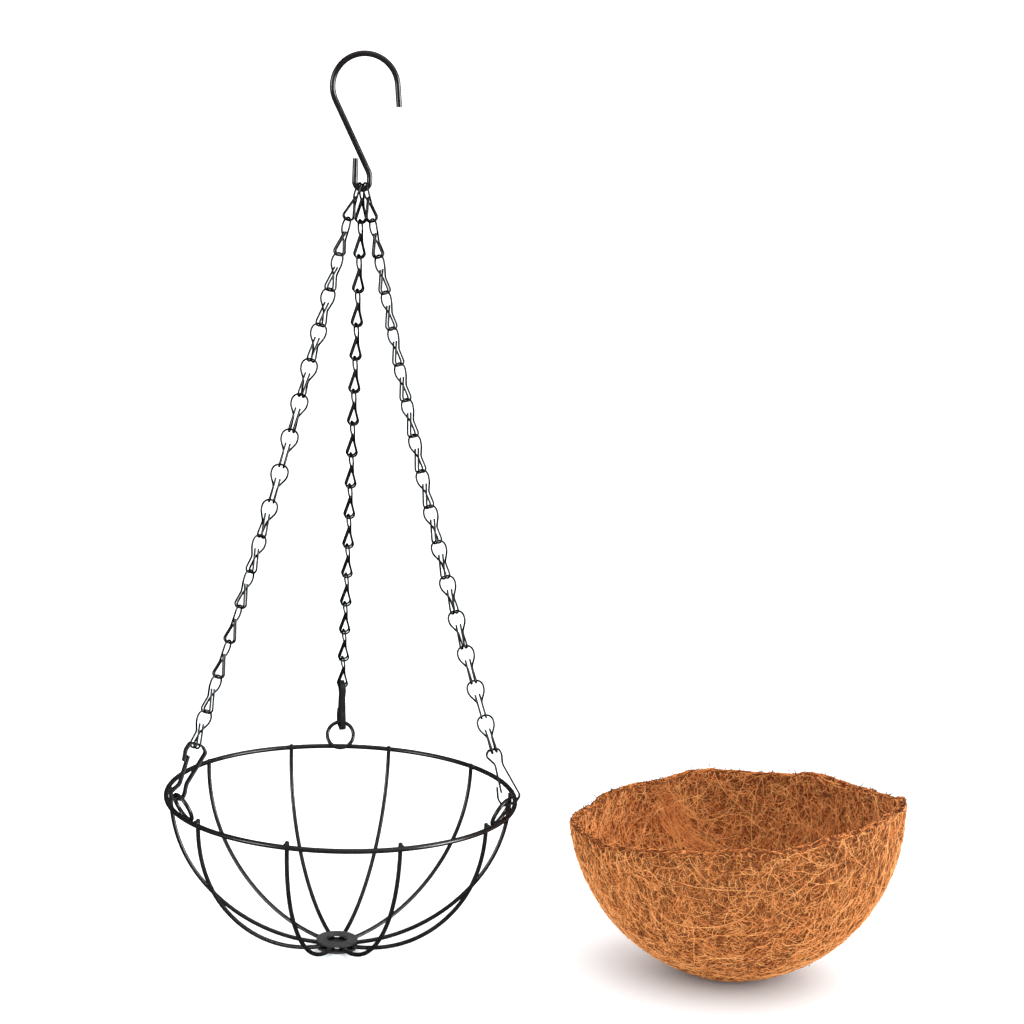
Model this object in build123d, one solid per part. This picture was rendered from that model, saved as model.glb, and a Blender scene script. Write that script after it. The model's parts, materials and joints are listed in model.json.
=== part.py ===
from build123d import *
from math import asin, atan, atan2, cos, degrees, hypot, radians, sin, sqrt, tan
import os

# Hanging wire flower basket with its loose coir liner. Millimetres, +Z up.
# Origin: the bearing point inside the top of the S-hook, where it hangs on a nail, pole or bracket.
# The basket's axis is the Z axis. One pair of ribs lies along X, the eye rings are at 90, 210 and 330 degrees.

os.makedirs("parts", exist_ok=True)

# ---------------------------------------------------------------- driving dimensions
rim_radius = 125.0          # to the centre of the rim wire: a 10 inch basket
rim_wire = 3.5
rib_count = 10
rib_wire = 3.0
rib_stub = 2.8              # the rib ends stand this far above the rim's centre plane
bowl_depth = 112.8          # rim centre to the lowest point of the rib centrelines
side_arc = 104.0            # radius of a rib's curved side
weld_sink = 0.12            # how far welded wires sink into each other

washer_radius = 15.0
washer_hole_radius = 7.75
washer_thickness = 1.5
rib_end_radius = 9.6        # the ribs stop short of the washer hole

ring_wire = 2.9
ring_radius = 10.1          # eye ring, to the wire's centre
ring_lean = 25.0            # the rings lean outward, in line with the pull of the chains
ring_foot_height = -0.4
ring_azimuths = {"left": 210.0, "right": 330.0, "rear": 90.0}

hook_wire = 4.0
hook_bow_radius = 22.2      # large upper bow of the S-hook, to the wire's centre
hook_height = 91.2          # top of the bow to the bottom of the lower bend, between wire centres
hook_bend_radius = 4.95
hook_bend_half_width = 5.0
hook_leg_bend = 10.0        # where the slanted leg meets the lower bend
hook_tip_flare = 6.0
hook_tip_length = 15.0
hook_leg_slant = 27.0
hook_keeper_length = 15.8   # upturned tip that keeps the chains on the lower bend
hook_clearance = 0.42       # between the lower bend and the eyes that hang on it
chain_spread = 64.0         # degrees round the lower bend from the rear chain to the other two

link_count = 16
link_wire = 1.4
link_pitch = 25.1
eye_half_width = 5.7        # the round upper eye of a link, to the wire's centre
eye_corner = 5.2
eye_side = 8.2
leg_spacing = 1.55          # half the distance between the two legs and their hooks
hook_half_width = 4.5
hook_corner = 2.9
seat_drop = 1.66            # a link's eye rests this far above the bottoms of the hooks that hold it

# Degrees from vertical: the top link, the next one and the lowest. The pull is greatest at the top.
chain_slopes = {
    "left": (19.5, 14.5, 19.4),
    "right": (15.6, 13.7, 21.5),
    "rear": (13.6, 14.0, 21.8),
}

strip_width = 4.0           # flat spring strip of the clips
strip_thickness = 1.3
clip_clearance = 0.5

liner_half_length = 119.9
liner_half_width = 101.2
liner_height = 121.0        # at its middle
liner_tilt = 5.5            # the rim is higher at the end away from the basket
liner_belly = 1.17          # 1 is an ellipsoid, more is straighter towards the bottom
liner_wall = 7.0
liner_flat = 2.0            # the round bottom is pressed flat by this much
liner_centre = (280.6, -39.9)
liner_turn = -5.8

# Angle about the vertical that each link's hooks face, at some links: the chains hang a little twisted.
link_turns = {
    "left": ((1, 13), (2, 25), (5, 66), (9, 92), (12, 150), (13.5, 170), (16, 128)),
    "right": ((1, 13), (3, 30), (9, 46), (16, 97)),
    "rear": ((1, 13), (3, 15), (16, 13)),
}
clip_turns = {"left": 119.0, "right": 91.0, "rear": 13.0}


# ---------------------------------------------------------------- helpers
def polar(radius, azimuth, height):
    """A point at this radius and azimuth (degrees) about the Z axis."""
    return Vector(radius * cos(radians(azimuth)), radius * sin(radians(azimuth)), height)


def wire_along(path, thickness):
    """A round wire whose centre follows the path."""
    section = Plane(path @ 0, z_dir=path % 0) * Circle(thickness / 2)
    return sweep(section, path=path)


def save(shape, name, colour):
    """Writes one node. The colour only helps a viewer tell the nodes apart."""
    shape.label = name
    shape.color = Color(colour)
    export_step(shape, f"parts/{name}.step")


# ---------------------------------------------------------------- S-hook
bow_centre = Vector(0, 0, hook_wire / 2 - hook_bow_radius)
bend_bottom = hook_wire / 2 - hook_height
bend_centre_height = bend_bottom + hook_bend_radius


def on_bow(angle):
    """A point of the upper bow's centreline, at this angle in the XZ plane."""
    return bow_centre + Vector(cos(radians(angle)), 0, sin(radians(angle))) * hook_bow_radius


def make_s_hook():
    """One bent rod: flared tip, large bow, slanted leg, tight lower bend and upturned keeper."""
    flare, slant = radians(hook_tip_flare), radians(hook_leg_slant)
    tip = on_bow(hook_tip_flare) + Vector(sin(flare), 0, -cos(flare)) * hook_tip_length
    leg_top = on_bow(180 + hook_leg_slant)
    leg_corner = leg_top + Vector(tan(slant), 0, -1) * ((hook_bend_half_width - leg_top.X) / tan(slant))
    keeper_top = Vector(-hook_bend_half_width, 0, bend_centre_height + hook_keeper_length)
    bow_middle = on_bow((hook_tip_flare + 180 + hook_leg_slant) / 2)
    lower = FilletPolyline(
        leg_top,
        leg_corner,
        (hook_bend_half_width, 0, bend_bottom),
        (-hook_bend_half_width, 0, bend_bottom),
        keeper_top,
        radius=[hook_leg_bend, hook_bend_radius, hook_bend_radius],
    )
    upper = [
        Line(tip, on_bow(hook_tip_flare)),
        ThreePointArc(on_bow(hook_tip_flare), bow_middle, leg_top),
    ]
    return wire_along(Wire(upper + list(lower.edges())), hook_wire)


# ---------------------------------------------------------------- where the chains hang
def chain_start(side):
    """Centre of the top link's wire on the lower bend: the three eyes sit side by side in it."""
    seat_radius = hook_bend_radius - hook_wire / 2 - link_wire / 2 - hook_clearance
    spread = {"left": -chain_spread, "rear": 0.0, "right": chain_spread}[side]
    return Vector(
        seat_radius * sin(radians(spread)), 0, bend_centre_height - seat_radius * cos(radians(spread))
    )


ring_foot_radius = rim_radius - rim_wire / 2 - ring_wire / 2 + weld_sink
ring_top_radius = ring_foot_radius + 2 * ring_radius * sin(radians(ring_lean))
ring_top_height = ring_foot_height + 2 * ring_radius * cos(radians(ring_lean))


def link_slope(side, number):
    """Angle from vertical of a link: the pull grows evenly from the lowest link to the second."""
    first, second, lowest = (radians(slope) for slope in chain_slopes[side])
    share = (number - 2) / (link_count - 2)
    return first if number == 1 else atan(1 / ((1 - share) / tan(second) + share / tan(lowest)))


def turn_at(stations, number):
    """The twist between two listed links."""
    for (n0, turn0), (n1, turn1) in zip(stations, stations[1:]):
        if n0 <= number <= n1:
            return turn0 + (turn1 - turn0) * (number - n0) / (n1 - n0)
    return stations[-1][1]


def facing(top, down, turn):
    """A frame with its Z axis up the link and its Y axis where the link's hooks face."""
    out = polar(1, turn, 0)
    out = (out - down * out.dot(down)).normalized()
    return Plane(origin=top, x_dir=out.cross(down * -1), z_dir=down * -1)


def chain_frames(side):
    """The frame of each link of a chain, and the point where its clip hangs."""
    place = chain_start(side)
    target = polar(ring_top_radius, ring_azimuths[side], 0)
    azimuth = degrees(atan2(target.Y - place.Y, target.X - place.X))
    frames = []
    for number in range(1, link_count + 1):
        slope = link_slope(side, number)
        down = polar(sin(slope), azimuth, -cos(slope))
        frames.append(facing(place, down, turn_at(link_turns[side], number)))
        place = place + down * link_pitch
    return frames, place


# ---------------------------------------------------------------- clips
# The centreline of the strip, X across and Y down the clip, from the latching end to the open tip of the hook.
clip_points = [
    (-2.4, 30.0), (-1.7, 10.4), (-6.3, 3.4), (-4.0, 0.0), (3.6, 0.0), (4.6, 4.6),
    (3.4, 11.4), (9.7, 35.6), (5.4, 39.6), (-4.2, 39.6), (-5.8, 34.0), (-4.4, 26.6),
]
clip_radii = [5.0, 2.4, 2.4, 3.0, 8.0, 8.0, 2.6, 4.2, 2.2, 6.0]
clip_length = 39.6


def make_clip():
    """A snap clip bent from one flat spring strip, its top bow at the origin and its plane in XZ."""
    centre = FilletPolyline(*[(x, -y) for x, y in clip_points], radius=clip_radii)
    outline = make_face(offset(centre, strip_thickness / 2, side=Side.BOTH, closed=True).wire())
    return extrude(Plane.XZ * outline, strip_width / 2, both=True)


clip_seat_rise = {"left": 1.4, "right": 1.0, "rear": 1.3}    # the flat strip rides up the hooks' sides
clip_reach = clip_length - ring_wire / 2 - strip_thickness / 2 - clip_clearance


def clip_top(side):
    """The strip's top centre in the lowest link's hooks."""
    frames, seat = chain_frames(side)
    return seat + frames[-1].z_dir * (clip_seat_rise[side] - seat_drop + (link_wire + strip_thickness) / 2)


def rim_height_under(side):
    """The rim's height when the clip of this chain holds its ring."""
    top = clip_top(side)
    ring = polar(ring_top_radius, ring_azimuths[side], 0)
    across = hypot(ring.X - top.X, ring.Y - top.Y)
    return top.Z - sqrt(clip_reach**2 - across**2) - ring_top_height


rim_height = max(rim_height_under(side) for side in ring_azimuths)


# ---------------------------------------------------------------- the wire bowl
def make_rim():
    return Pos(0, 0, rim_height) * Torus(rim_radius, rim_wire / 2)


rib_top_radius = rim_radius - rim_wire / 2 - rib_wire / 2 + weld_sink
half_chord = rib_top_radius - side_arc
base_arc = (half_chord**2 + bowl_depth**2 - side_arc**2) / (2 * (bowl_depth - side_arc))


def make_rib(azimuth):
    """A rib: a short stub at the rim, a curved side, and a flatter curve in to the hub."""
    side_centre = (half_chord, 0)
    base_centre = (0, base_arc - bowl_depth)
    joint = atan2(side_centre[1] - base_centre[1], side_centre[0] - base_centre[0])
    hub_end = -asin(sqrt(1 - (rib_end_radius / base_arc) ** 2))

    def side_point(angle):
        return (side_centre[0] + side_arc * cos(angle), side_centre[1] + side_arc * sin(angle))

    def base_point(angle):
        return (base_centre[0] + base_arc * cos(angle), base_centre[1] + base_arc * sin(angle))

    path = Wire([
        Line((rib_top_radius, rib_stub), side_point(0)),
        ThreePointArc(side_point(0), side_point(joint / 2), side_point(joint)),
        ThreePointArc(base_point(joint), base_point((joint + hub_end) / 2), base_point(hub_end)),
    ])
    upright = Plane(origin=(0, 0, rim_height), x_dir=polar(1, azimuth, 0), z_dir=polar(1, azimuth - 90, 0))
    return wire_along(upright * path, rib_wire)


def rib_height_at(radius):
    """Height of the rib centrelines below the rim, near the hub."""
    return base_arc - bowl_depth - sqrt(base_arc**2 - radius**2)


def make_washer(underside):
    disc = Cylinder(washer_radius, washer_thickness) - Cylinder(washer_hole_radius, 2 * washer_thickness)
    return Pos(0, 0, underside + washer_thickness / 2) * disc


def make_ring(side):
    """An eye ring welded by its foot to the inner side of the rim."""
    outward = polar(sin(radians(ring_lean)), ring_azimuths[side], cos(radians(ring_lean)))
    foot = polar(ring_foot_radius, ring_azimuths[side], rim_height + ring_foot_height)
    normal = polar(cos(radians(ring_lean)), ring_azimuths[side], -sin(radians(ring_lean)))
    place = Plane(origin=foot + outward * ring_radius, x_dir=outward, z_dir=normal)
    return place * Torus(ring_radius, ring_wire / 2)


# ---------------------------------------------------------------- chain links
def make_link():
    """One bent wire: a round eye, two legs, and two hooks that hold the next link's eye."""
    bottom = -(link_pitch + seat_drop)
    half = [
        (0, 0, 0),
        (eye_half_width, 0, 0),
        (eye_half_width, 0, -eye_side),
        (leg_spacing, 1.5, -15.5),
        (leg_spacing, hook_half_width, bottom),
        (leg_spacing, -hook_half_width, bottom),
        (leg_spacing, 0.6, -9.8),
    ]
    other = [(-x, y, z) for x, y, z in half[1:]]
    bends = [eye_corner, 8.0, 5.0, hook_corner, hook_corner]
    path = FilletPolyline(*reversed(other), *half[1:], radius=bends[::-1] + bends)
    return wire_along(path, link_wire)


# ---------------------------------------------------------------- coir liner
def liner_bowl(shrink):
    """The solid bowl inside this offset of the outside, standing up past the rim."""
    steps = [radians(7.5 * n) for n in range(13)]
    side = Spline(*[(cos(t) ** liner_belly, -sin(t)) for t in steps], tangents=[(0, -1), (-1, 0)])
    outline = make_face([side, Polyline(side @ 1, (0, 0.3), (1, 0.3), side @ 0)])
    size = (liner_half_length - shrink, liner_half_width - shrink, liner_height + liner_flat - shrink)
    return scale(revolve(Plane.XZ * outline, Axis.Z), by=size)


def make_liner(base):
    """A moulded coir bowl standing on the same surface as the basket, its rim not level."""
    tilt = radians(liner_tilt)
    rim_plane = Plane(origin=(0, 0, liner_height), z_dir=(-sin(tilt), 0, cos(tilt)))
    shell = Pos(0, 0, liner_height) * (liner_bowl(0) - liner_bowl(liner_wall))
    shell = split(shell, bisect_by=rim_plane, keep=Keep.BOTTOM)
    shell = shell - Pos(0, 0, -liner_flat) * Cylinder(liner_half_width, 2 * liner_flat)
    return Pos(liner_centre[0], liner_centre[1], base) * Rot(0, 0, liner_turn) * shell


# ---------------------------------------------------------------- build and write every piece
save(make_s_hook(), "s_hook", "dimgray")
save(make_rim(), "rim", "gray")
save(Compound(children=[make_rib(360 / rib_count * n) for n in range(rib_count)]), "ribs", "slategray")

lower_face = rim_height + rib_height_at(rib_end_radius) - rib_wire / 2 + weld_sink
upper_face = rim_height + rib_height_at(washer_radius) + rib_wire / 2 - weld_sink
base_height = lower_face - washer_thickness
save(make_washer(base_height), "hub_washer_lower", "steelblue")
save(make_washer(upper_face), "hub_washer_upper", "lightsteelblue")

link = make_link()
clip = make_clip()
for side, azimuth in ring_azimuths.items():
    save(make_ring(side), f"eye_ring_{side}", "orange")
    for number, frame in enumerate(chain_frames(side)[0], 1):
        save(frame.location * link, f"{side}_link_{number:02d}", "red" if number % 2 else "green")
    top = clip_top(side)
    ring_top = polar(ring_top_radius, azimuth, rim_height + ring_top_height)
    place = facing(top, (ring_top - top).normalized(), clip_turns[side]).location
    if side == "left":      # this one is clipped on the other way up
        place = place * Pos(0, 0, -clip_length) * Rot(180, 0, 0)
    save(place * clip, f"{side}_clip", "purple")

save(make_liner(base_height), "coir_liner", "peru")

print("rim height", round(rim_height, 3), "base height", round(base_height, 3), "upper washer", round(upper_face, 3))
print("chain starts", {side: chain_start(side) for side in ring_azimuths})
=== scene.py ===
import json
import math

import bpy
import numpy as np
from mathutils import Matrix, Vector


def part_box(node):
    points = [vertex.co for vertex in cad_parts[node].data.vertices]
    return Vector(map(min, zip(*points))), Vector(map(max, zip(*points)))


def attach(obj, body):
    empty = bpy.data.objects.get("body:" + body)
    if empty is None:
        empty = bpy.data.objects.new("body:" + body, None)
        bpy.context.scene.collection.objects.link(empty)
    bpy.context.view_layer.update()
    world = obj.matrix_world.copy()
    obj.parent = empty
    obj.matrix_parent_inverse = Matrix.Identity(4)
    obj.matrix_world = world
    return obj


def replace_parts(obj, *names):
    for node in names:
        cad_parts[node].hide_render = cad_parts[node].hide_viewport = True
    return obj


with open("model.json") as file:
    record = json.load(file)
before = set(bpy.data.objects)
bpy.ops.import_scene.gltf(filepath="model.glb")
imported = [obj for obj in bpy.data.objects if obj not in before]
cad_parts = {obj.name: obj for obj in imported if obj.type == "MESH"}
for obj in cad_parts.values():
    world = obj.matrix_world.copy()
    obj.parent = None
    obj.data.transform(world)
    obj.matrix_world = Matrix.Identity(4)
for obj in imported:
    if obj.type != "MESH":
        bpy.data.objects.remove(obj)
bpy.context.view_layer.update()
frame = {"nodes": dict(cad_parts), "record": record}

# ---------------------------------------------------------------- where things are
rim_low, rim_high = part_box("rim")
rim_centre = (rim_low + rim_high) / 2
floor_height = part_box("hub_washer_lower")[0].z

MM = 0.001
CAMERA_OFFSET = Vector((-30.2, -1419.8, 444.2)) * MM    # from the centre of the basket's rim
CAMERA_TURN = 5.79          # degrees: to the right of the basket's +Y axis
CAMERA_PITCH = 9.32         # degrees, looking down
CAMERA_ROLL = 2.64          # degrees
LENS, SENSOR = 71.6, 36     # mm
FLOOR_HALF = 20.0           # metres
WORLD_DIM, WORLD_BRIGHT = 1.15, 2.0     # the studio's strength towards -X and towards +X
# Each lamp's name and strength, and its spread, tilt from straight down and turn about Z in degrees.
LAMPS = (("key", 0.95, 85, 24, 45), ("glint_right", 5.0, 34, 86, 66), ("glint_left", 1.8, 24, 84, -56))


# ---------------------------------------------------------------- camera, floor and light
def make_camera():
    """A camera in front of the basket, a little above it, that looks slightly down and to the right."""
    turn, pitch, roll = (math.radians(a) for a in (CAMERA_TURN, CAMERA_PITCH, CAMERA_ROLL))
    turned = Matrix.Rotation(-turn, 3, "Z") @ Matrix.Rotation(math.pi / 2 - pitch, 3, "X")
    camera = bpy.data.objects.new("camera", bpy.data.cameras.new("camera"))
    bpy.context.scene.collection.objects.link(camera)
    rolled = turned @ Matrix.Rotation(roll, 3, "Z")
    camera.matrix_world = Matrix.Translation(rim_centre + CAMERA_OFFSET) @ rolled.to_4x4()
    camera.data.lens = LENS
    camera.data.sensor_width = SENSOR
    camera.data.clip_end = 100
    bpy.context.scene.camera = camera


def make_floor():
    """A wide plain floor under the basket and the liner."""
    mesh = bpy.data.meshes.new("floor")
    half = FLOOR_HALF
    corners = [(-half, -half), (half, -half), (half, half), (-half, half)]
    mesh.from_pydata([(x, y, floor_height) for x, y in corners], [], [(0, 1, 2, 3)])
    floor = bpy.data.objects.new("floor", mesh)
    bpy.context.scene.collection.objects.link(floor)
    material = new_material("floor_paper")
    shader = material.node_tree.nodes["Principled BSDF"]
    shader.inputs["Base Color"].default_value = (0.935, 0.975, 1, 1)
    shader.inputs["Roughness"].default_value = 0.9
    shader.inputs["Specular IOR Level"].default_value = 0.1
    mesh.materials.append(material)
    # Black wire doesn't mirror the white floor.
    floor.visible_glossy = False


def make_light():
    """A bright soft studio, one broad key lamp, and two lamps that only make highlights on the wire."""
    scene = bpy.context.scene
    world = bpy.data.worlds.new("studio")
    world.use_nodes = True
    tree = world.node_tree
    background = tree.nodes["Background"]
    background.inputs["Color"].default_value = (1, 1, 1, 1)
    way = node(tree, "ShaderNodeSeparateXYZ", {0: node(tree, "ShaderNodeTexCoord").outputs["Generated"]})
    strength = span(tree, way.outputs["X"], -1.0, 1.0, WORLD_DIM, WORLD_BRIGHT)
    tree.links.new(strength, background.inputs["Strength"])
    scene.world = world
    scene.view_settings.view_transform = "Standard"
    # Black wire mirrors only the lamps, so that it stays black between its highlights.
    world.cycles_visibility.glossy = False
    for name, energy, spread, tilt, turn in LAMPS:
        lamp = bpy.data.objects.new(name, bpy.data.lights.new(name, "SUN"))
        lamp.data.energy = energy
        lamp.data.angle = math.radians(spread)
        lamp.rotation_euler = (math.radians(tilt), 0, math.radians(turn))
        lamp.visible_diffuse = name == "key"
        scene.collection.objects.link(lamp)


# ---------------------------------------------------------------- materials
PEEL_DEPTH = 0.12 * MM
RUBBED_PALER = 4.0          # times paler than the worn paint


def new_material(name):
    material = bpy.data.materials.new(name)
    material.use_nodes = True
    return material


def node(tree, kind, inputs=(), **settings):
    """Adds a node, sets its options, and links or sets its inputs."""
    made = tree.nodes.new(kind)
    for key, value in settings.items():
        setattr(made, key, value)
    for key, value in dict(inputs).items():
        if isinstance(value, bpy.types.NodeSocket):
            tree.links.new(value, made.inputs[key])
        else:
            made.inputs[key].default_value = value
    return made


def noise(tree, place, scale, detail=2.0, roughness=0.5, distortion=0.0):
    """Smooth noise, about 0 to 1, in patches of about 1 / scale metres."""
    inputs = {"Vector": place, "Scale": scale, "Detail": detail}
    inputs.update({"Roughness": roughness, "Distortion": distortion})
    return node(tree, "ShaderNodeTexNoise", inputs).outputs["Fac"]


def span(tree, value, from_low, from_high, to_low=0.0, to_high=1.0, smooth=False):
    """Maps a value from one range to another, and clamps it there."""
    inputs = {"Value": value, "From Min": from_low, "From Max": from_high}
    inputs.update({"To Min": to_low, "To Max": to_high})
    kind = "SMOOTHSTEP" if smooth else "LINEAR"
    return node(tree, "ShaderNodeMapRange", inputs, interpolation_type=kind).outputs["Result"]


def maths(tree, operation, first, second=0.0):
    return node(tree, "ShaderNodeMath", {0: first, 1: second}, operation=operation).outputs[0]


def mix(tree, share, first, second):
    """The first colour at share 0, the second at share 1."""
    made = tree.nodes.new("ShaderNodeMix")
    made.data_type = "RGBA"
    for key, value in {"Factor": share, "A": first, "B": second}.items():
        socket = [s for s in made.inputs if s.name == key and s.enabled][0]
        if isinstance(value, bpy.types.NodeSocket):
            tree.links.new(value, socket)
        else:
            socket.default_value = value
    return [s for s in made.outputs if s.enabled][0]


def painted_wire(name, paint, worn, roughness, grain, wear, metallic=0.0):
    """Black coating on wire: a fine orange peel, uneven gloss, patches of dust and paler rubbed spots.

    Paint and worn are colours, grain is the scale of the orange peel, and wear is how strong the rubbed
    spots are.
    """
    material = new_material(name)
    tree = material.node_tree
    shader = tree.nodes["Principled BSDF"]
    place = node(tree, "ShaderNodeTexCoord").outputs["Object"]
    peel = noise(tree, place, grain, 3.0, 0.6)
    cloud = noise(tree, place, 90.0, 4.0, 0.6)
    scuff = noise(tree, place, 620.0, 5.0, 0.7, 0.6)
    spots = span(tree, scuff, 0.60, 0.72, smooth=True)
    rubbed = maths(tree, "MULTIPLY", spots, span(tree, cloud, 0.5, 0.68))
    rubbed = maths(tree, "MULTIPLY", rubbed, wear)
    dusty = mix(tree, span(tree, cloud, 0.35, 0.75, 0.0, 0.35), paint, worn)
    bare = tuple(min(1.0, c * RUBBED_PALER) for c in worn[:3]) + (1,)
    colour = mix(tree, rubbed, dusty, bare)
    tree.links.new(colour, shader.inputs["Base Color"])
    gloss = maths(tree, "ADD", span(tree, cloud, 0.3, 0.7, roughness - 0.06, roughness + 0.1), rubbed)
    tree.links.new(gloss, shader.inputs["Roughness"])
    bump = node(tree, "ShaderNodeBump", {"Strength": 0.05, "Distance": PEEL_DEPTH, "Height": peel})
    tree.links.new(bump.outputs["Normal"], shader.inputs["Normal"])
    shader.inputs["Metallic"].default_value = metallic
    shader.inputs["Specular IOR Level"].default_value = 0.5
    return material


def assign(material, slot):
    """Gives the material to every CAD node of a slot."""
    for name in slot_of:
        if slot_of[name] == slot:
            mesh = frame["nodes"][name].data
            mesh.materials.clear()
            mesh.materials.append(material)


make_camera()
make_floor()
make_light()

slot_of = {part["node"]: part["material_slot"] for part in frame["record"]["subparts"]}

BLACK, DUST = (0.01, 0.0085, 0.008, 1), (0.024, 0.021, 0.0195, 1)
# For each slot: paint, worn colour, roughness, grain, wear and, for bare-looking metal, how metallic it is.
WIRE_PAINTS = {
    "coated_wire": (BLACK, DUST, 0.24, 1400.0, 0.25),
    # The washer's paint and worn colour are paler than the other wire's black: painted reflection of the
    # light off its flat top.
    "washer_coating": ((0.045, 0.043, 0.045, 1), (0.1, 0.097, 0.1, 1), 0.3, 1100.0, 0.3),
    "hook_rod": (BLACK, DUST, 0.2, 1200.0, 0.25),
    "chain_wire": ((0.003, 0.003, 0.003, 1), (0.01, 0.009, 0.009, 1), 0.3, 1800.0, 0.3),
    "clip_strip": ((0.018, 0.018, 0.02, 1), (0.045, 0.045, 0.047, 1), 0.3, 900.0, 0.5, 0.3),
}
paints = {slot: painted_wire(slot, *values) for slot, values in WIRE_PAINTS.items()}
for slot, paint in paints.items():
    assign(paint, slot)


# ---------------------------------------------------------------- welds
RIM_WIRE, RIB_WIRE = 3.5 * MM, 3.0 * MM
RIBS_TURN = 36              # degrees from one rib end to the next
EYE_RINGS = (90, 210, 330)  # degrees round the rim
# Each kind of bead: how far its middle lies outside and above the wire's line, and its half sizes outwards,
# along the rim and up, all in mm.
RIB_END = (0.0, -0.45, 1.56, 1.56, 1.3)
RIB_WELD = (-1.6, 0.9, 1.9, 2.3, 1.7)
EYE_WELD = (-1.7, 0.2, 1.8, 3.4, 1.9)
BEAD_AROUND, BEAD_ROWS = 14, 9


def make_welds(material):
    """The rounded rib ends, and the beads that join the ribs and the eye rings to the rim."""
    ribs_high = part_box("ribs")[1]
    rim_radius = (rim_high.x - rim_low.x) / 2 - RIM_WIRE / 2
    rib_radius = ribs_high.x - RIB_WIRE / 2
    beads = []
    for azimuth in range(0, 360, RIBS_TURN):
        beads.append((azimuth, rib_radius, ribs_high.z, RIB_END))
        beads.append((azimuth, rim_radius, rim_centre.z, RIB_WELD))
    for azimuth in EYE_RINGS:
        beads.append((azimuth, rim_radius, rim_centre.z, EYE_WELD))
    across, rows = BEAD_AROUND, BEAD_ROWS
    points, faces = [], []
    for azimuth, wire_radius, wire_height, (outside, above, out, side, up) in beads:
        a = math.radians(azimuth)
        radius, height = wire_radius + outside * MM, wire_height + above * MM
        first = len(points)
        for row in range(rows):
            # From just above the bottom pole to just below the top one, so that every ring has a size.
            lift = math.pi * (row + 0.02) / (rows - 0.96) - math.pi / 2
            for step in range(across):
                turn = 2 * math.pi * step / across
                r = radius + out * MM * math.cos(lift) * math.cos(turn)
                t = side * MM * math.cos(lift) * math.sin(turn)
                z = height + up * MM * math.sin(lift)
                points.append((r * math.cos(a) - t * math.sin(a), r * math.sin(a) + t * math.cos(a), z))
        for row in range(rows - 1):
            for step in range(across):
                low, high = first + row * across, first + (row + 1) * across
                after = (step + 1) % across
                faces.append((low + step, low + after, high + after, high + step))
        faces.append(tuple(range(first + across - 1, first - 1, -1)))
        faces.append(tuple(range(len(points) - across, len(points))))
    mesh = bpy.data.meshes.new("weld_beads")
    mesh.from_pydata(points, [], faces)
    mesh.polygons.foreach_set("use_smooth", [True] * len(faces))
    mesh.materials.append(material)
    piece = bpy.data.objects.new("weld_beads", mesh)
    bpy.context.scene.collection.objects.link(piece)
    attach(piece, "basket")


make_welds(paints["coated_wire"])


# ---------------------------------------------------------------- the coir liner
liner_low, liner_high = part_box("coir_liner")
LINER_TURN = math.radians(-5.8)
BOWL_HEIGHT = 123 * MM      # of the whole half egg, of which the lowest bit is pressed flat
BOWL_FLAT = 2 * MM
BOWL_TAPER = 1.1            # 1 is an ellipsoid, more is straighter towards the bottom
FELT_WALL = 4.6 * MM
CREST = 0.2 * FELT_WALL     # how far the rounded rim rises above the wall's two edges
LEAST_LIFT = 0.1 * MM       # everything stays at least this far above the floor

# Height of the torn rim above the floor, in mm, by the angle round it in degrees from the right end.
RIM_HEIGHTS = [
    (0, 135), (7, 130.7), (19, 128.1), (39, 125.5), (50, 127.1), (58, 126.3), (64, 122.8),
    (77, 120.4), (87, 120.1), (95, 120.4), (103, 119.7), (113, 115.4), (126, 113.8), (148, 110.5),
    (157, 106.3), (166, 107.5), (178, 108.8), (184, 108.4), (200, 107.8), (212, 107.9), (229, 111.9),
    (240, 114.7), (250, 117.1), (259, 121.0), (263, 124.1), (271, 123.9), (278, 123.3), (286, 124.7),
    (294, 128.4), (306, 130.5), (319, 132.3), (333, 135), (350, 135.5),
]
RIM_WAVES = ((0.5, 14.0, 3), (0.5, 40.0, 4), (0.35, 95.0, 12))      # height in mm, scale and seed

# The fold down the inside of the felt.
FOLD_ANGLE = 117.5          # degrees round the rim, at the top
FOLD_DRIFT = 47             # degrees that it moves by the time it is at the bottom
FOLD_WIDTH = 6.5            # degrees
FOLD_RISE, PANEL_RISE = 5.0, 2.4        # mm, of the ridge and of the lapped panel beside it


def liner_axes():
    """Half length and half width of the turned oval, from the box of its CAD solid."""
    half = (liner_high - liner_low) / 2
    c, s = math.cos(LINER_TURN) ** 2, math.sin(LINER_TURN) ** 2
    length = math.sqrt((half.x**2 * c - half.y**2 * s) / (c - s))
    return length, math.sqrt((half.y**2 * c - half.x**2 * s) / (c - s))


liner_length, liner_width = liner_axes()
liner_centre = np.array([(liner_low.x + liner_high.x) / 2, (liner_low.y + liner_high.y) / 2, liner_low.z])


def waves(places, scale, seed, count=24):
    """Smooth seeded noise: a sum of sine waves in random directions, about -1 to 1."""
    draw = np.random.default_rng(seed)
    vectors = draw.normal(size=(count, 3)) * scale
    phases = draw.uniform(0, 2 * np.pi, count)
    return np.sin(places @ vectors.T + phases).sum(-1) * math.sqrt(0.5 / count)


def rim_height(angle):
    stations = np.array(RIM_HEIGHTS)
    height = np.interp(np.degrees(angle) % 360, stations[:, 0], stations[:, 1], period=360)
    ring = np.stack([np.cos(angle), np.sin(angle), 0 * angle], -1)
    for rise, scale, seed in RIM_WAVES:
        height = height + rise * waves(ring, scale, seed)
    return height * MM


def direction_at(angle, height):
    """Where on the bowl a point lies: along, across and up from its widest place, each in half sizes."""
    up = (height + BOWL_FLAT) / BOWL_HEIGHT - 1
    flat = np.sqrt(np.clip(1 - np.minimum(up, 0) ** 2, 0, 1))
    return np.stack([np.cos(angle) * flat, np.sin(angle) * flat, up], -1)


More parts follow.
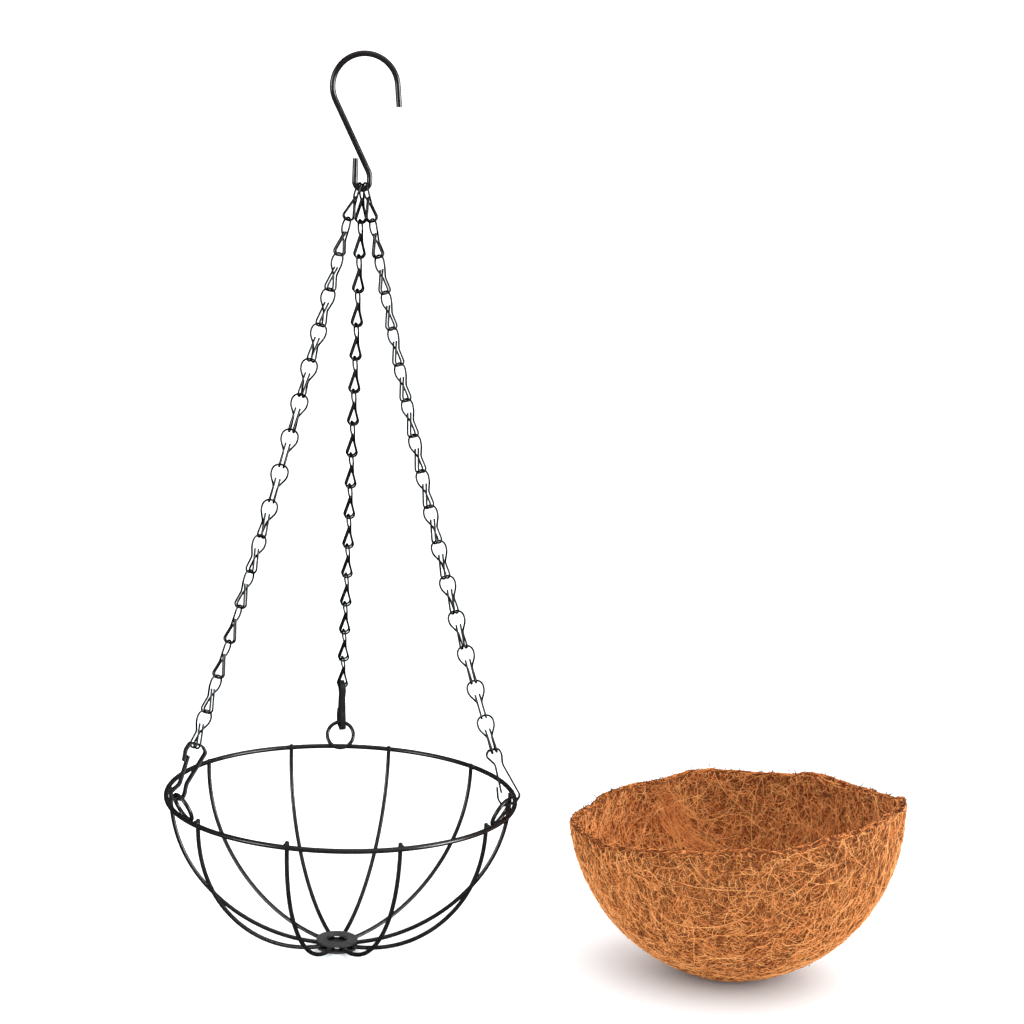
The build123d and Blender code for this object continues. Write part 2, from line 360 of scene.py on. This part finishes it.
def direction_of(p):
    """The same, for the wall point nearest to p."""
    q = p / np.array([liner_length, liner_width, BOWL_HEIGHT])
    q[:, 2] += BOWL_FLAT / BOWL_HEIGHT - 1
    below = np.minimum(q[:, 2], 0)
    across = np.hypot(q[:, 0], q[:, 1]) + 1e-9
    q[:, :2] *= (across ** (1 / BOWL_TAPER - 1))[:, None]
    scale = np.sqrt(q[:, 0] ** 2 + q[:, 1] ** 2 + below**2)
    return np.stack([q[:, 0] / scale, q[:, 1] / scale, np.where(q[:, 2] < 0, q[:, 2] / scale, q[:, 2])], -1)


def pleat(angle, down):
    """The felt's extra thickness inside, where it was folded: a ridge and, beside it, a lapped panel."""
    off = np.degrees(angle) - (FOLD_ANGLE - FOLD_DRIFT * down)
    ridge = np.exp(-((off / FOLD_WIDTH) ** 2)) * np.clip(1.15 - down * 1.3, 0, 1)
    # The panel runs from the ridge to 70 degrees past it, and ends a third of the way down.
    panel = np.clip(off / 14, 0, 1) * np.clip((70 - off) / 12, 0, 1)
    step = np.clip((0.33 - down) * 14, 0, 1) * np.clip(down * 8, 0, 1)
    return (FOLD_RISE * ridge + PANEL_RISE * panel * step) * MM


def wall_point(d, depth):
    """A point of the felt, in the liner's own frame, and the way out. Depth is 0 outside and 1 inside."""
    angle = np.arctan2(d[:, 1], d[:, 0])
    down = np.clip(-d[:, 2], 0, 1)
    near_rim = np.clip(1 - down * 1.6, 0, 1)
    # Towards the rim the oval is flatter between its ends and sides, so that its ends are more pointed.
    power = 2 - 0.25 * near_rim
    oval = (np.abs(np.cos(angle)) ** power + np.abs(np.sin(angle)) ** power) ** (-1 / power)
    dents = 1 + 0.012 * waves(d, 3.0, 5) * (0.3 + near_rim) + 0.004 * waves(d, 9.0, 6) - 0.006
    flat = np.sqrt(1 - down**2)
    radius = flat**BOWL_TAPER * oval * dents
    x, y = liner_length * radius * np.cos(angle), liner_width * radius * np.sin(angle)
    z = BOWL_HEIGHT * (1 + d[:, 2]) - BOWL_FLAT
    lean = np.maximum(flat, 0.001) ** (1 - BOWL_TAPER) / BOWL_TAPER
    along, across = d[:, 0] * lean / liner_length, d[:, 1] * lean / liner_width
    n = np.stack([along, across, np.minimum(d[:, 2], 0) / BOWL_HEIGHT], -1)
    n /= np.linalg.norm(n, axis=1)[:, None]
    thickness = FELT_WALL * (1 + 0.12 * waves(d, 6.0, 8)) + pleat(angle, down)
    p = np.stack([x, y, z], -1) - n * (depth * thickness)[:, None]
    return p, n


def turn_to_frame(vectors):
    """Turns vectors of the liner's own frame about Z into the shared frame."""
    c, s = math.cos(LINER_TURN), math.sin(LINER_TURN)
    x, y, z = vectors[..., 0], vectors[..., 1], vectors[..., 2]
    return np.stack([x * c - y * s, x * s + y * c, z], -1)


def to_frame(p):
    """From the liner's own frame to the shared frame, and never below the floor."""
    p = turn_to_frame(p)
    p[:, 2] = np.maximum(p[:, 2], LEAST_LIFT)
    return p + liner_centre


def new_piece(name, points, faces, material, tint=None):
    """A smooth mesh from points and arrays of faces with equal corner counts."""
    mesh = bpy.data.meshes.new(name)
    corners = np.concatenate([np.asarray(f, np.int32).ravel() for f in faces])
    counts = np.concatenate([np.full(len(f), np.shape(f)[1]) for f in faces])
    mesh.vertices.add(len(points))
    mesh.vertices.foreach_set("co", np.asarray(points, np.float32).ravel())
    mesh.loops.add(len(corners))
    mesh.loops.foreach_set("vertex_index", corners)
    mesh.polygons.add(len(counts))
    mesh.polygons.foreach_set("loop_start", (np.cumsum(counts) - counts).astype(np.int32))
    mesh.update(calc_edges=True)
    mesh.polygons.foreach_set("use_smooth", np.full(len(counts), True))
    if tint is not None:
        mesh.attributes.new("tint", "FLOAT", "POINT").data.foreach_set("value", tint.astype(np.float32))
    mesh.materials.append(material)
    piece = bpy.data.objects.new(name, mesh)
    bpy.context.scene.collection.objects.link(piece)
    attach(piece, "liner")
    return piece


def make_felt(material):
    """The felt wall: up the outside, over the rim and down the inside, as one closed skin."""
    around, up_rows, over_rows = 430, 84, 7     # points in a row, rows of a face, and rows over the rim
    angle = np.linspace(0, 2 * np.pi, around, endpoint=False)
    top = rim_height(angle)
    rises = 1 - np.cos(np.linspace(0.02, 1, up_rows) * np.pi / 2)
    rows = []
    for depth, shares in ((0.0, rises), (1.0, rises[::-1])):
        for share in shares:
            d = direction_at(angle, top * share)
            p, n = wall_point(d, np.full(around, depth))
            lumps = 0.25 * waves(d, 38.0, 9, 60) + 0.15 * waves(d, 80.0, 10, 60)
            rows.append(p + n * (lumps * (1 - 2 * depth) * MM)[:, None])
            if share == 1 and depth == 0:
                for turn in np.linspace(0, np.pi, over_rows + 2)[1:-1]:
                    crest, _ = wall_point(d, np.full(around, 0.5 - 0.5 * math.cos(turn)))
                    crest[:, 2] += CREST * math.sin(turn)
                    rows.append(crest)
    points = to_frame(np.concatenate(rows))
    ring = np.arange(around)
    after = (ring + 1) % around
    quads = []
    for r in range(len(rows) - 1):
        low, high = r * around, (r + 1) * around
        quads.append(np.stack([low + ring, low + after, high + after, high + ring], -1))
    ends = []
    for r, order in ((0, -1), (len(rows) - 1, 1)):
        middle = points[r * around:(r + 1) * around].mean(0)
        points = np.concatenate([points, [middle]])
        fan = np.stack([r * around + ring, r * around + after, np.full(around, len(points) - 1)], -1)
        ends.append(fan[:, ::order])
    return new_piece("coir_felt", points, [np.concatenate(quads), np.concatenate(ends)], material)


# ---------------------------------------------------------------- coir fibres
# Added to a fibre's tint at its three corners. The ridge, which faces out of the felt, catches the light,
# and the two lower edges lie in the shade of the fibre's neighbours.
CORNER_TINTS = (0.2, -0.45, -0.45)


def tubes(name, paths, normals, radii, tints, material):
    """Thin tapered tubes of three sides along many paths at once."""
    count, steps = paths.shape[:2]
    along = np.gradient(paths, axis=1)
    along /= np.linalg.norm(along, axis=2)[..., None] + 1e-12
    side = np.cross(along, normals)
    side /= np.linalg.norm(side, axis=2)[..., None] + 1e-12
    out = np.cross(side, along)
    taper = np.sin(np.linspace(0.18, np.pi - 0.18, steps)) ** 0.35
    radius = radii[:, None] * taper[None, :]
    corners = []
    for turn in (90, 210, 330):
        c, s = math.cos(math.radians(turn)), math.sin(math.radians(turn))
        corners.append(paths + (side * c + out * s) * radius[..., None])
    points = np.stack(corners, 2).reshape(-1, 3)
    points[:, 2] = np.maximum(points[:, 2], floor_height + LEAST_LIFT)
    first = (np.arange(count) * steps * 3)[:, None, None] + (np.arange(steps - 1) * 3)[None, :, None]
    k = np.arange(3)[None, None, :]
    after = (k + 1) % 3
    quads = np.stack([first + k, first + after, first + 3 + after, first + 3 + k], -1).reshape(-1, 4)
    start = np.arange(count)[:, None] * steps * 3
    caps = np.concatenate([start + [2, 1, 0], start + (steps - 1) * 3 + [0, 1, 2]])
    shade = np.tile(np.array(CORNER_TINTS), count * steps) + np.repeat(tints, steps * 3)
    new_piece(name, points, [quads, caps], material, shade)


def wall_fibres(name, material, seed, count, depth, length, radius, curl, lift, tint, steps=9,
                around=(0, 360), from_share=0.0, along=(0, 0, 0)):
    """Fibres that wander over one face of the felt: the outside at depth 0, or the inside at depth 1.

    Length, radius and lift are ranges in mm, tint is a range from dark to pale, and curl is how fast they
    turn. They start between two angles round the rim, at or above this share of its height, and tend along
    a vector.
    """
    draw = np.random.default_rng(seed)
    angle = np.radians(draw.uniform(*around, count))
    share = from_share + (1 - from_share) * draw.uniform(0.0, 1.0, count) ** 0.9
    d = direction_at(angle, rim_height(angle) * share)
    stride = draw.uniform(*length, count) * MM / steps
    bend = draw.normal(0, 1, count) * curl
    drift = draw.normal(0, 1.5 * curl, (steps, count))
    heading = draw.normal(size=(count, 3)) + np.array(along)
    inward = 1 - 2 * depth
    height = draw.uniform(*lift, count)
    phase = draw.uniform(0, 2 * np.pi, count)
    paths, normals = [], []
    for step in range(steps):
        p, n = wall_point(d, np.full(count, float(depth)))
        weave = (height + 0.28 * np.sin(phase + step * 0.9)) * MM * inward
        paths.append(to_frame(p + n * weave[:, None]))
        normals.append(n * inward)
        heading -= n * (heading * n).sum(1)[:, None]
        heading /= np.linalg.norm(heading, axis=1)[:, None]
        turn = (bend * stride / MM + drift[step])[:, None]
        heading = heading * np.cos(turn) + np.cross(n, heading) * np.sin(turn)
        ahead = direction_of(wall_point(d, np.zeros(count))[0] + heading * stride[:, None])
        limit = rim_height(np.arctan2(ahead[:, 1], ahead[:, 0]))
        over = BOWL_HEIGHT * (1 + ahead[:, 2]) - BOWL_FLAT > limit
        heading[over, 2] *= -1
        ahead[over] = d[over]
        d = np.where(over[:, None], d + [0, 0, -0.004], ahead)
    normals = turn_to_frame(np.stack(normals, 1))
    radii = draw.uniform(*radius, count) * MM
    tubes(name, np.stack(paths, 1), normals, radii, draw.uniform(*tint, count), material)


def rim_fibres(name, material, seed, count):
    """Fibres folded over the edge, from the outside to the inside."""
    steps = 9
    draw = np.random.default_rng(seed)
    angle = draw.uniform(0, 2 * np.pi, count)
    slant = draw.normal(0.01, 0.09, count)
    outer, inner = draw.uniform(0.1, 6.0, count) * MM, draw.uniform(0.2, 7.0, count) * MM
    puff = draw.uniform(-0.1, 0.5, count) * MM
    paths = []
    for share in np.linspace(-1, 1, steps):
        at = angle + slant * share
        top = rim_height(at)
        turn = (share + 1) / 2 * np.pi
        sink = np.where(share < 0, outer, inner) * abs(share) ** 2.2
        d = direction_at(at, top - sink)
        p, n = wall_point(d, np.full(count, 0.5 - 0.5 * math.cos(turn)))
        p = p + n * (puff * math.cos(turn))[:, None]
        p[:, 2] += CREST * math.sin(turn) + puff * math.sin(turn)
        paths.append(to_frame(p))
    paths = np.stack(paths, 1)
    normals = np.zeros_like(paths)
    normals[..., 2] = 1
    radii = draw.uniform(0.16, 0.34, count) * MM
    # Their tints run darker than the wall fibres' tints: painted shade that tones down the light falling on
    # the top of the rim.
    tubes(name, paths, normals, radii, draw.uniform(-0.4, 0.65, count), material)


def stray_fibres(name, material, seed, count):
    """Loose ends that stick out of the rim and, here and there, out of the wall."""
    steps = 8
    draw = np.random.default_rng(seed)
    angle = draw.uniform(0, 2 * np.pi, count)
    top = rim_height(angle)
    at_rim = draw.uniform(size=count) < 0.85
    height = np.where(at_rim, top, top * draw.uniform(0.1, 1, count))
    p, n = wall_point(direction_at(angle, height), np.where(at_rim, draw.uniform(0.1, 0.9, count), 0.0))
    start = to_frame(p)
    start[at_rim, 2] += 0.25 * FELT_WALL
    upward = np.where(at_rim, 0.9, 0.0)[:, None] * np.array([0, 0, 1])
    way = n * 0.8 + draw.normal(0, 0.55, (count, 3)) + upward
    way /= np.linalg.norm(way, axis=1)[:, None]
    aside = np.cross(way, draw.normal(size=(count, 3)))
    length = draw.gamma(2.0, 0.8, count).clip(0.6, 4.5)[:, None] * MM
    curl = draw.uniform(0.1, 0.6, count)[:, None]
    paths = [start + length * (way * t + aside * curl * t * t) for t in np.linspace(0, 1, steps)]
    paths = np.stack(paths, 1)
    normals = np.repeat(aside[:, None, :], steps, 1)
    radii = draw.uniform(0.18, 0.42, count) * MM
    tubes(name, paths, normals, radii, draw.uniform(0.0, 0.7, count), material)


# ---------------------------------------------------------------- coir materials
# Each layer's scale of noise, width of its lines in that noise, and warp.
FELT_LAYERS = ((300, 0.030, 0.8), (420, 0.028, 1.4), (560, 0.03, 1.0), (760, 0.032, 0.6), (360, 0.018, 2.0))
FELT_RELIEF = 0.7 * MM


def filaments(tree, place, scale, seed, width, warp):
    """Thin curved lines, like fibres lying in the felt: where a smooth noise crosses its middle value."""
    shifted = node(tree, "ShaderNodeVectorMath", {0: place, 1: (seed * 0.37, seed * 0.71, seed * 0.53)})
    at = shifted.outputs[0]
    value = noise(tree, at, scale, 1.0, 0.4, warp)
    off = maths(tree, "ABSOLUTE", maths(tree, "SUBTRACT", value, 0.5))
    return span(tree, off, width, 0.0, smooth=True)


def felt_material(name, gap_shade, dark, middle, light):
    """Matted coir: layers of fine curved fibres over dark gaps of painted shade, with drifting colour."""
    material = new_material(name)
    tree = material.node_tree
    shader = tree.nodes["Principled BSDF"]
    place = node(tree, "ShaderNodeTexCoord").outputs["Object"]
    patches = noise(tree, place, 26.0, 4.0, 0.6)
    # The colour under the fibre layers is painted shade in the gaps between the fibres.
    colour, height = gap_shade, None
    for number, (scale, width, warp) in enumerate(FELT_LAYERS):
        line = filaments(tree, place, scale, number + 1, width, warp)
        tone = noise(tree, place, 45.0 + 17 * number, 2.0)
        strand = mix(tree, span(tree, tone, 0.38, 0.64), dark if number % 2 else middle, light)
        colour = mix(tree, maths(tree, "MULTIPLY", line, 0.85), colour, strand)
        height = line if height is None else maths(tree, "MAXIMUM", height, line)
    colour = mix(tree, span(tree, patches, 0.35, 0.75, 0.0, 0.15), colour, middle)
    tree.links.new(colour, shader.inputs["Base Color"])
    shader.inputs["Roughness"].default_value = 0.85
    shader.inputs["Specular IOR Level"].default_value = 0.1
    bump = node(tree, "ShaderNodeBump", {"Strength": 0.9, "Distance": FELT_RELIEF, "Height": height})
    tree.links.new(bump.outputs["Normal"], shader.inputs["Normal"])
    return material


def fibre_material(name, stops):
    """A fibre's colour comes from its tint, with darker and paler stretches along it."""
    material = new_material(name)
    tree = material.node_tree
    shader = tree.nodes["Principled BSDF"]
    tint = node(tree, "ShaderNodeAttribute", attribute_name="tint").outputs["Fac"]
    place = node(tree, "ShaderNodeTexCoord").outputs["Object"]
    along = noise(tree, place, 240.0, 2.0)
    shade = maths(tree, "ADD", tint, span(tree, along, 0.3, 0.7, -0.14, 0.14))
    ramp = node(tree, "ShaderNodeValToRGB", {"Fac": shade})
    elements = ramp.color_ramp.elements
    while len(elements) < len(stops):
        elements.new(0.5)
    for element, (at, colour) in zip(elements, stops):
        element.position, element.color = at, colour
    tree.links.new(ramp.outputs["Color"], shader.inputs["Base Color"])
    shader.inputs["Roughness"].default_value = 0.62
    shader.inputs["Specular IOR Level"].default_value = 0.15
    return material


# The gap colour is painted shade between the fibres of the felt.
felt = felt_material("coir_felt", gap_shade=(0.04, 0.009, 0.003, 1), dark=(0.48, 0.13, 0.032, 1),
                     middle=(0.7, 0.215, 0.055, 1), light=(0.92, 0.37, 0.115, 1))
outer_fibre = fibre_material("coir_outer_fibre", [
    (0.0, (0.1, 0.021, 0.003, 1)), (0.3, (0.70, 0.205, 0.048, 1)), (0.7, (0.97, 0.38, 0.115, 1)),
    (1.0, (1.0, 0.55, 0.21, 1)),
])
# Paler than the outer fibre: painted light, standing in for the light that bounces about inside the bowl.
inner_fibre = fibre_material("coir_inner_fibre", [
    (0.0, (0.15, 0.034, 0.006, 1)), (0.3, (0.95, 0.30, 0.08, 1)), (0.7, (1.0, 0.47, 0.165, 1)),
    (1.0, (1.0, 0.55, 0.21, 1)),
])
stray_fibre = fibre_material("coir_stray_fibre", [
    (0.0, (0.03, 0.014, 0.009, 1)), (0.35, (0.20, 0.06, 0.02, 1)), (1.0, (0.72, 0.34, 0.12, 1)),
])

# ---------------------------------------------------------------- the felt and its fibres
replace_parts(make_felt(felt), "coir_liner")
FINE, THIN, THICK = (0.16, 0.33), (0.2, 0.34), (0.22, 0.38)     # ranges of fibre radius, in mm
OUTSIDE, INSIDE = 0, 1      # depths in the wall
short = {"length": (4, 14), "radius": FINE, "curl": 0.17, "lift": (-0.1, 0.8), "tint": (0.0, 0.95)}
curls = {"length": (18, 42), "radius": THIN, "curl": 0.08, "lift": (0.3, 1.0), "tint": (0.3, 1.0)}
arcs = {"radius": THICK, "curl": 0.03, "lift": (0.7, 1.1), "steps": 30}
for number in range(5):
    wall_fibres(f"coir_outside_fine_{number + 1}", outer_fibre, 21 + number, 3900, OUTSIDE, **short)
    wall_fibres(f"coir_inside_fine_{number + 1}", inner_fibre, 31 + number, 3500, INSIDE, **short)
wall_fibres("coir_outside_curls", outer_fibre, 41, 1000, OUTSIDE, steps=18, **curls)
wall_fibres("coir_inside_curls", inner_fibre, 42, 900, INSIDE, steps=18, **curls)
wall_fibres("coir_outside_arcs", outer_fibre, 43, 90, OUTSIDE, length=(45, 95), tint=(0.75, 1.0), **arcs)
wall_fibres("coir_inside_arcs", inner_fibre, 44, 70, INSIDE, length=(45, 110), tint=(0.7, 1.0), **arcs)
# Strands that were pulled along the fold when the felt was pressed.
wall_fibres("coir_fold_strands", inner_fibre, 45, 70, INSIDE, length=(25, 75), radius=THIN, curl=0.014,
            lift=(0.5, 1.4), tint=(0.3, 1.0), steps=16, around=(110, 121), from_share=0.72,
            along=(4.2, 1.3, -5.6))
rim_fibres("coir_rim_fibres", outer_fibre, 46, 3400)
stray_fibres("coir_stray_ends", stray_fibre, 47, 700)
